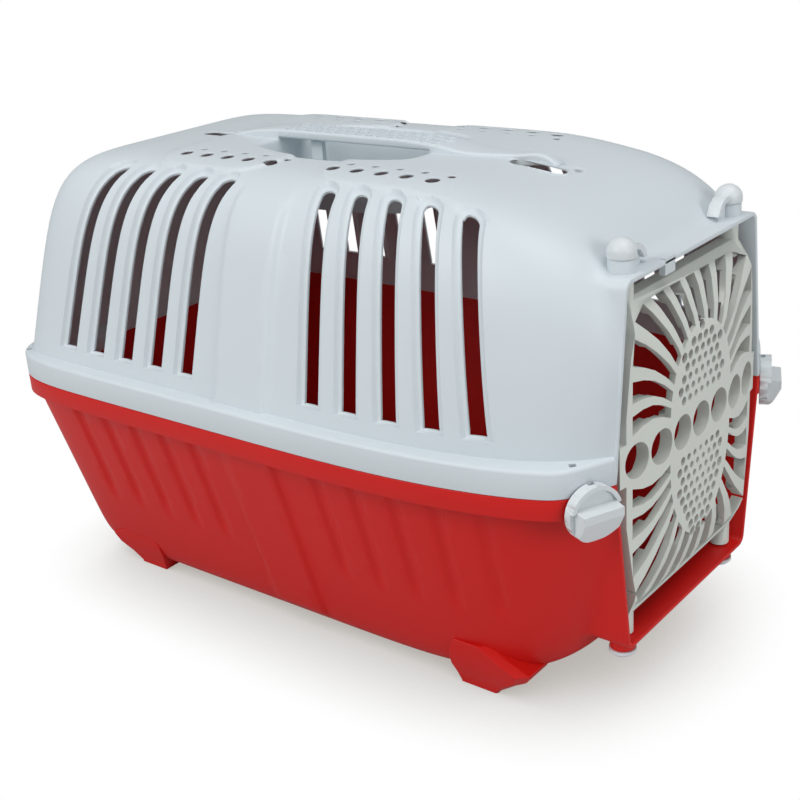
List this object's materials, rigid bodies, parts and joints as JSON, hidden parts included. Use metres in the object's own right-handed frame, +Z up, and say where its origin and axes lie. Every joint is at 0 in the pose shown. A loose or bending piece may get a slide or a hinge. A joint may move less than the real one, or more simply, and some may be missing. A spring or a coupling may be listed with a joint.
{
  "type": "pet carrier",
  "caption": "Two-shell plastic pet carrier with a slotted hood, moulded carrying handle and a hinged grille door held by turning pins.",
  "frame": {"origin": "centre of the overall box on the floor, between the four feet", "axes": "+Z up, +X towards the door, +Y towards the door's free side"},
  "size_m": [0.4914, 0.314, 0.33],
  "materials": {
    "tub_red": "satin moulded",
    "shell_grey": "satin moulded",
    "door_cream": "satin moulded",
    "pin_grey": "satin moulded"
  },
  "bodies": {
    "tub": {"base_tub": "tub_red"},
    "hood": {"top_shell": "shell_grey"},
    "door": {"door": "door_cream"},
    "lever_pin_left": {"lever_pin_left": "pin_grey"},
    "lever_pin_right": {"lever_pin_right": "pin_grey"},
    "foot_pin_left": {"foot_pin_left": "pin_grey"},
    "foot_pin_right": {"foot_pin_right": "pin_grey"},
    "side_closure_left": {"side_closure_left": "pin_grey"},
    "side_closure_right": {"side_closure_right": "pin_grey"}
  },
  "joints": [
    {"name": "hood_tilt", "type": "hinge", "parent": "tub", "child": "hood", "pos_m": [-0.24572, 0, 0.166], "axis": [0, -1, 0], "range_deg": [0, 60]},
    {"name": "door_swing", "type": "hinge", "parent": "tub", "child": "door", "pos_m": [0.22228, -0.067, 0.166], "axis": [0, 0, -1], "range_deg": [0, 95]},
    {"name": "lever_turn_left", "type": "hinge", "parent": "hood", "child": "lever_pin_left", "pos_m": [0.22228, -0.067, 0.29], "axis": [0, 0, -1], "range_deg": [0, 90]},
    {"name": "lever_turn_right", "type": "hinge", "parent": "hood", "child": "lever_pin_right", "pos_m": [0.22228, 0.067, 0.29], "axis": [0, 0, 1], "range_deg": [0, 90]},
    {"name": "foot_pin_turn_left", "type": "hinge", "parent": "tub", "child": "foot_pin_left", "pos_m": [0.22228, -0.067, 0.045], "axis": [0, 0, -1], "range_deg": [0, 90]},
    {"name": "foot_pin_turn_right", "type": "hinge", "parent": "tub", "child": "foot_pin_right", "pos_m": [0.22228, 0.067, 0.045], "axis": [0, 0, 1], "range_deg": [0, 90]},
    {"name": "closure_turn_left", "type": "hinge", "parent": "tub", "child": "side_closure_left", "pos_m": [0.22716, -0.11299, 0.156], "axis": [0.9135, -0.4067, 0], "range_deg": [0, 90]},
    {"name": "closure_turn_right", "type": "hinge", "parent": "tub", "child": "side_closure_right", "pos_m": [0.22716, 0.11299, 0.156], "axis": [0.9135, 0.4067, 0], "range_deg": [0, 90]}
  ]
}
